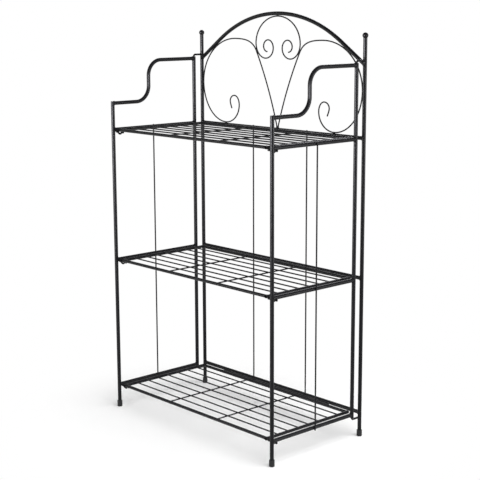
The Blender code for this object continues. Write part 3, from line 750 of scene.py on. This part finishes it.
# side frames: a stepped arm, three crossbars with hooks and one upright wire, all between post and hinge tube
armTube = {"bend": 0.048, "step": 0.57, "bendSteps": 26, "run": (0.0, 0.012, 0.03, 0.06), "frontSeam": 0.8}
hookWire = {"radius": 0.003, "setback": 0.015, "sag": 0.004, "weld": 0.0008, "lead": 0.6, "leadRows": 4,
            "knots": (0.25, 0.5, 0.75), "bendSteps": 16, "seatRows": 4, "dropBelow": 0.0006,
            "rubReach": 0.006, "rubDepth": 0.8}
crossbarRows = 20
armStepY = sideY - armTube["step"] * (sideY - frontY)
bendR = armTube["bend"]
armRun = np.array(armTube["run"])
armPath = np.concatenate((
    np.stack((armRun + frontY, np.full(len(armRun), armLow)), -1),
    arcPoints((armStepY - bendR, armLow + bendR), bendR, -90, 0, armTube["bendSteps"]),
    arcPoints((armStepY + bendR, armHigh - bendR), bendR, 180, 90, armTube["bendSteps"]),
    np.stack((sideY - armRun[::-1], np.full(len(armRun), armHigh)), -1)))
inset = half - barX
hookY = frontY + hookWire["setback"]


# a hook in (outwards, up): it leaves the underside of its crossbar, dips, and comes up under the shelf's bar
def hookPoints(z):
    under = z - tubeR - hookWire["radius"]
    top = under + hookWire["weld"]
    low = under - hookWire["sag"]
    rest = z - barR - hookWire["radius"] - weldGap
    bends = hookWire["bendSteps"]
    near, middle, far = (-share * inset for share in hookWire["knots"])
    lead = levelRun(hookWire["lead"] * tubeR, 0, top, hookWire["leadRows"])
    dip = bezierPoints((0, top), (near, top), (near, low), (middle, low), bends)
    rise = bezierPoints((middle, low), (far, low), (far, rest), (-inset, rest), bends)
    seatX = -inset - np.linspace(0, barR, hookWire["seatRows"])[1:]
    seat = np.stack((seatX, np.full(len(seatX), rest)), -1)
    return np.concatenate((lead, dip, rise, seat))


for side, sign in sideSigns.items():
    x = sign * half
    body = f"{side}_side_frame"
    frontAxis, rearAxis = np.array((x, frontY, 0.0)), np.array((x, sideY, 0.0))
    arm = carryRound(sideways(armPath, x), tubeR, tubing["sides"], acrossX)
    copeBoth(arm, frontAxis, rearAxis, upward, tubeR)
    coatNode(f"arm_tube_{side}", body, makeShell(arm))
    lowEnd = frontAxis + upward * armLow
    highEnd = rearAxis + upward * armHigh
    welds[body].append(seamRing(lowEnd, -towardBack, tubeR, upward, tubeR, armTube["frontSeam"]))
    welds[body].append(seamRing(highEnd, towardBack, tubeR, upward, tubeR))
    wireX, wireY, rod = uprightRod(f"side_wire_{side}")
    coatNode(f"side_wire_{side}", body, rod)
    for turn, (level, z) in enumerate(levelZ.items()):
        ends = frontAxis + upward * z, rearAxis + upward * z
        bar = fittedTube(ends, tubeR, tubing["sides"], crossbarRows, upward, tubeR)
        hookPath = hookPoints(z) * (sign, 1) + (x, 0)
        hook = softWire(standing(hookPath, hookY), hookWire["radius"], towardBack)
        fromBar = np.abs(np.abs(hook.mean(1)[:, 0]) - barX)
        wear = rubNear(fromBar, hookWire)[:, None]
        coatNode(f"{level}_crossbar_{side}", body, bar, makeShell(hook, rub=wear))
        welds[body] += endSeams(ends, towardBack, tubeR, upward, tubeR)
        for way in (-1, 1):
            spot = (x, hookY + way * hookWire["radius"], z - tubeR - hookWire["dropBelow"])
            welds[body].append(weldDrop(spot, acrossX, towardBack, upward, "hook", turn + way))
        touch = (wireX - sign * uprightR, wireY, z)
        welds[body].append(weldDrop(touch, towardBack, upward, acrossX, "upright", turn))
print("side frames made")

# shelves: side bars with open ends, front and rear bars fitted between them, a hinge tube stitched to the
# rear bar, and a grid of long wires on two cross wires
shelfBar = {"bore": 0.016, "rows": 28, "seam": 0.9, "rubReach": 0.005, "rubDepth": 0.7, "rubBelow": 0.8,
            "rubFade": 0.001}
wireGrid = {"radius": 0.0021, "long": 7, "overlap": 0.0008, "rows": 26, "dropIn": 0.0041, "dropUp": 0.0001,
            "turnPerMetre": 100}
hingeTube = {"stitches": (-0.17, -0.06, 0.06, 0.17), "stitch": 0.026, "bead": 0.0018, "lift": 0.0030,
             "ripples": 9, "rubReach": 0.010, "rubDepth": 0.5}
shelfPin = {"radius": 0.0025, "leg": 0.038, "reach": 0.018, "bendSteps": 16, "innerRows": 8, "outerRows": 6,
            "outerTo": 0.001, "rubReach": 0.005, "rubDepth": 0.7, "rubPast": 0.002,
            "stitch": (0.004, 0.024), "stitchIn": 0.0006, "lift": 0.0021, "bead": 0.0013, "ripples": 8}
gridR = wireGrid["radius"]
rodYs = frontBarY + (rearBarY - frontBarY) * np.arange(1, wireGrid["long"] + 1) / (wireGrid["long"] + 1)
rodTurns = wireGrid["turnPerMetre"] * rodYs       # so that no two weld drops look alike
valley = (shelfY + rearBarY) / 2
# hairpin, flat: one leg in the hinge tube, a half turn, and the other leg along the rail's front
railLeg = backY - shelfY - tubeR - weldGap - shelfPin["radius"]
turnX = shelfTubeEnd + shelfPin["leg"] - railLeg / 2 - shelfPin["radius"]
hairpin = np.concatenate((
    levelRun(shelfTubeEnd - shelfPin["reach"], turnX, 0.0, shelfPin["innerRows"])[:-1],
    arcPoints((turnX, railLeg / 2), railLeg / 2, -90, 90, shelfPin["bendSteps"]),
    levelRun(turnX, shelfTubeEnd + shelfPin["outerTo"], railLeg, shelfPin["outerRows"])[1:]))
stitchY = shelfY + railLeg + shelfPin["radius"] - shelfPin["stitchIn"]


# a rod of the grid, fitted to bars whose axes lie lower by the drop
def gridRod(ends, drop, barAxis):
    return fittedTube(ends, gridR, wiring["sides"], wireGrid["rows"], barAxis, barR, drop)


for level, z in levelZ.items():
    body = f"{level}_shelf"
    for side, sign in sideSigns.items():
        bar = openTube((sign * barX, barLow[1], z), (sign * barX, barHigh[1], z), barR, shelfBar["bore"])
        wear = rubNear(np.abs(bar[:, :, 1] - frontY - hookWire["setback"]), shelfBar)
        below = np.clip((z - shelfBar["rubBelow"] * barR - bar[:, :, 2]) / shelfBar["rubFade"], 0, 1)
        coatNode(f"{body}_{side}_bar", body, makeShell(bar, rub=wear * below))
    for name, y in (("front_bar", frontBarY), ("rear_bar", rearBarY)):
        ends = [np.array((sign * barX, y, z)) for sign in (-1, 1)]
        bar = fittedTube(ends, barR, tubing["sides"], shelfBar["rows"], towardBack, barR)
        coatNode(f"{body}_{name}", body, bar)
        welds[body] += endSeams(ends, acrossX, barR, towardBack, barR, shelfBar["seam"])
    hinge = openTube((-shelfTubeEnd, shelfY, z), (shelfTubeEnd, shelfY, z), barR, tubing["bore"])
    coatNode(f"{body}_hinge_tube", body, makeShell(hinge, rub=endRub(hinge, hingeTube)))
    for middle in hingeTube["stitches"]:
        for way in (-1, 1):
            line = [np.array((middle + run * hingeTube["stitch"] / 2, valley, z + way * hingeTube["lift"]))
                    for run in (-1, 1)]
            welds[body].append(weldStitch(*line, hingeTube))
    longZ = z + barR - gridR
    crossZ = longZ - 2 * gridR + wireGrid["overlap"]
    rods = []
    for y, turn in zip(rodYs, rodTurns):
        ends = [np.array((sign * barX, y, longZ)) for sign in (-1, 1)]
        rods.append(gridRod(ends, upward * (z - longZ), towardBack))
        for sign in (-1, 1):
            spot = (sign * (barX - wireGrid["dropIn"]), y, longZ + wireGrid["dropUp"])
            welds[body].append(weldDrop(spot, towardBack, acrossX, upward, "rodEnd", turn))
    for sign in (-1, 1):
        x = sign * barX / 3    # the cross wires part the shelf in three
        ends = [np.array((x, y, crossZ)) for y in (frontBarY, rearBarY)]
        rods.append(gridRod(ends, upward * (z - crossZ), acrossX))
        for y, turn in zip(rodYs, rodTurns):
            spot = (x, y, (longZ + crossZ) / 2)
            welds[body].append(weldDrop(spot, acrossX, towardBack, upward, "crossing", turn + sign))
        for y, way in ((frontBarY, 1), (rearBarY, -1)):
            spot = (x, y + way * (barR + weldGap), crossZ)
            welds[body].append(weldDrop(spot, acrossX, upward, towardBack, "crossEnd", sign))
    coatNode(f"{body}_wire_grid", body, *rods)
    for side, sign in sideSigns.items():
        pin = softWire(lying(hairpin * (sign, 1) + (0, shelfY), z), shelfPin["radius"], upward)
        centres = pin.mean(1)
        fromEnd = np.abs(np.abs(centres[:, 0]) - shelfTubeEnd)
        wear = rubNear(fromEnd, shelfPin)
        wear = wear * (centres[:, 1] < shelfY + shelfPin["rubPast"])
        coatNode(f"{body}_pin_{side}", "back_frame", makeShell(pin, rub=wear[:, None]))
        for way in (-1, 1):
            line = [np.array((sign * (shelfTubeEnd + run), stitchY, z + way * shelfPin["lift"]))
                    for run in shelfPin["stitch"]]
            backWelds.append(weldStitch(*line, shelfPin))
print("shelves made")

for body, shells in welds.items():
    makePiece(f"{body}_welds", shells, weldMaterial, body)
print("welds made:", sum(len(shells) for shells in welds.values()))

# floor: near the stand it is lit and takes the shadow; further off it turns into the white of the backdrop
floorPlane = {"reach": 60.0, "sunk": 0.0004, "colour": (0.80, 0.80, 0.80), "lift": 0.22, "near": 0.36,
              "far": 0.72}


# 1 for the rays that show the background: to the camera, in reflections and through glass
def seenBackground(tree):
    rays = addNode(tree, "LightPath", {})
    seen = rays["Is Camera Ray"]
    for ray in ("Is Glossy Ray", "Is Transmission Ray"):
        either = addNode(tree, "Math", {0: seen, 1: rays[ray]}, operation="MAXIMUM", use_clamp=True)
        seen = either["Value"]
    return seen


# the lit floor plus a glow that only those rays see, mixed with plain white by the distance from the middle
def makeFloorMaterial():
    material = bpy.data.materials.new("paleFloor")
    material.use_nodes = True
    tree = material.node_tree
    tree.nodes.remove(tree.nodes["Principled BSDF"])
    seen = seenBackground(tree)
    matte = addNode(tree, "BsdfDiffuse", {"Color": (*floorPlane["colour"], 1)})["BSDF"]
    lift = addNode(tree, "Math", {0: seen, 1: floorPlane["lift"]}, operation="MULTIPLY")["Value"]
    glow = addNode(tree, "Emission", {"Strength": lift})["Emission"]
    lit = addNode(tree, "AddShader", {0: matte, 1: glow})["Shader"]
    backdrop = addNode(tree, "Emission", {"Strength": seen})["Emission"]
    where = addNode(tree, "TexCoord", {})["Object"]
    distance = addNode(tree, "VectorMath", {0: where}, operation="LENGTH")["Value"]
    fades = {"Value": distance, "From Min": floorPlane["near"], "From Max": floorPlane["far"]}
    fade = addNode(tree, "MapRange", fades, interpolation_type="SMOOTHSTEP")["Result"]
    whole = addNode(tree, "MixShader", {"Fac": fade, 1: lit, 2: backdrop})["Shader"]
    setInputs(tree, tree.nodes["Material Output"], {"Surface": whole})
    return material


reach, sunk = floorPlane["reach"], floorPlane["sunk"]
corners = [(-reach, -reach, -sunk), (reach, -reach, -sunk), (reach, reach, -sunk), (-reach, reach, -sunk)]
floorMesh = bpy.data.meshes.new("floor")
floorMesh.from_pydata(corners, [], [(0, 1, 2, 3)])
floorMesh.materials.append(makeFloorMaterial())
floor = addObject("floor", floorMesh)

# light: a wide sun from above that leans from the right, a white room with a dim ceiling, and soft boxes that
# the coat mirrors; each box has its place, size in metres, power and colour, and the tubes that it lights if
# flags keep it off the rest
postTubes = ("rear_post", "front_post", "side_hinge_tube", "finial")
armTubes = ("arm_tube",)
studio = {
    "fill": 0.15, "sun": 3.6, "sunWide": 62, "sunFrom": (0.8, 0.02, 1.0), "aim": (0.0, 0.0, 0.7),
    "ceilingFrom": 0.2, "ceilingTo": 0.7, "ceiling": 0.1,
    "boxes": (
        ("backBox", (-1.36, 2.20, 1.98), (0.8, 0.8), 9.0, (0.94, 0.94, 1.0), ()),
        ("rightBox", (2.50, 1.00, 0.75), (1.2, 0.8), 36.0, (0.96, 0.96, 1.0), ()),
        ("frontBox", (-1.05, -2.60, 0.75), (1.7, 0.8), 62.0, (0.96, 0.96, 1.0), ()),
        ("tallBox", (0.12, -2.80, 1.05), (1.2, 1.2), 190.0, (0.93, 0.93, 1.0), postTubes),
        ("armBox", (2.05, -1.95, 0.62), (1.8, 1.0), 150.0, (0.93, 0.93, 1.0), armTubes)),
}


# the room is seen as white, dims towards the ceiling, and lights the object by the fill alone
def makeRoom():
    world = bpy.data.worlds.new("studio")
    world.use_nodes = True
    tree = world.node_tree
    direction = addNode(tree, "TexCoord", {})["Generated"]
    height = addNode(tree, "SeparateXYZ", {"Vector": direction})["Z"]
    dimming = {"Value": height, "From Min": studio["ceilingFrom"], "From Max": studio["ceilingTo"],
               "To Min": 1.0, "To Max": studio["ceiling"]}
    ceiling = addNode(tree, "MapRange", dimming, interpolation_type="SMOOTHSTEP")["Result"]
    shown = addNode(tree, "Math", {0: seenBackground(tree), 1: ceiling}, operation="MULTIPLY")["Value"]
    strengths = {"Value": shown, "To Min": studio["fill"], "To Max": 1.0}
    strength = addNode(tree, "MapRange", strengths)["Result"]
    setInputs(tree, tree.nodes["Background"], {"Color": (1, 1, 1, 1), "Strength": strength})
    return world


bpy.context.scene.world = makeRoom()
sunLamp = bpy.data.lights.new("topLight", "SUN")
sunLamp.energy = studio["sun"]
sunLamp.angle = math.radians(studio["sunWide"])
sunHolder = addObject("topLight", sunLamp)
sunHolder.rotation_euler = Vector(studio["sunFrom"]).to_track_quat("Z", "Y").to_euler()
sunHolder.visible_glossy = False               # the boxes and the room alone make the shine
for name, place, (wide, tall), power, colour, tubes in studio["boxes"]:
    lamp = bpy.data.lights.new(name, "AREA")
    lamp.shape = "RECTANGLE"
    lamp.size, lamp.size_y = wide, tall
    lamp.energy = power
    lamp.color = colour
    holder = addObject(name, lamp)
    aim = Vector(studio["aim"]) - Vector(place)
    holder.matrix_world = Matrix.Translation(place) @ aim.to_track_quat("-Z", "Y").to_matrix().to_4x4()
    holder.visible_camera = False
    holder.visible_diffuse = False               # mirrored only: the floor's shadow stays the sun's
    if tubes:
        flagged = bpy.data.collections.new(f"{name}Tubes")
        for tube in tubes:
            for side in sideSigns:
                flagged.objects.link(bpy.data.objects[f"{tube}_{side}_skin"])
        holder.light_linking.receiver_collection = flagged

# camera: angles in radians, focal length in pixels of the frame
cameraSet = {"place": (2.6062, -2.3358, 1.2388), "yaw": -0.8354, "pitch": -0.1907, "roll": -0.0042,
             "focal": 1195.3, "frame": 480, "sensor": 36}
yaw, pitch, roll = (cameraSet[key] for key in ("yaw", "pitch", "roll"))
forward = Vector((math.cos(pitch) * math.sin(yaw), math.cos(pitch) * math.cos(yaw), math.sin(pitch)))
right = Vector((math.cos(yaw), -math.sin(yaw), 0))
above = right.cross(forward)
rolledRight = math.cos(roll) * right + math.sin(roll) * above
rolledUp = math.cos(roll) * above - math.sin(roll) * right
lens = bpy.data.cameras.new("camera")
lens.sensor_width = cameraSet["sensor"]
lens.lens = cameraSet["focal"] / cameraSet["frame"] * cameraSet["sensor"]
camera = addObject("camera", lens)
turnMatrix = Matrix((rolledRight, rolledUp, -forward)).transposed().to_4x4()
camera.matrix_world = Matrix.Translation(cameraSet["place"]) @ turnMatrix
bpy.context.scene.camera = camera
bpy.context.scene.view_settings.view_transform = "Standard"
print("stage, light and camera set")
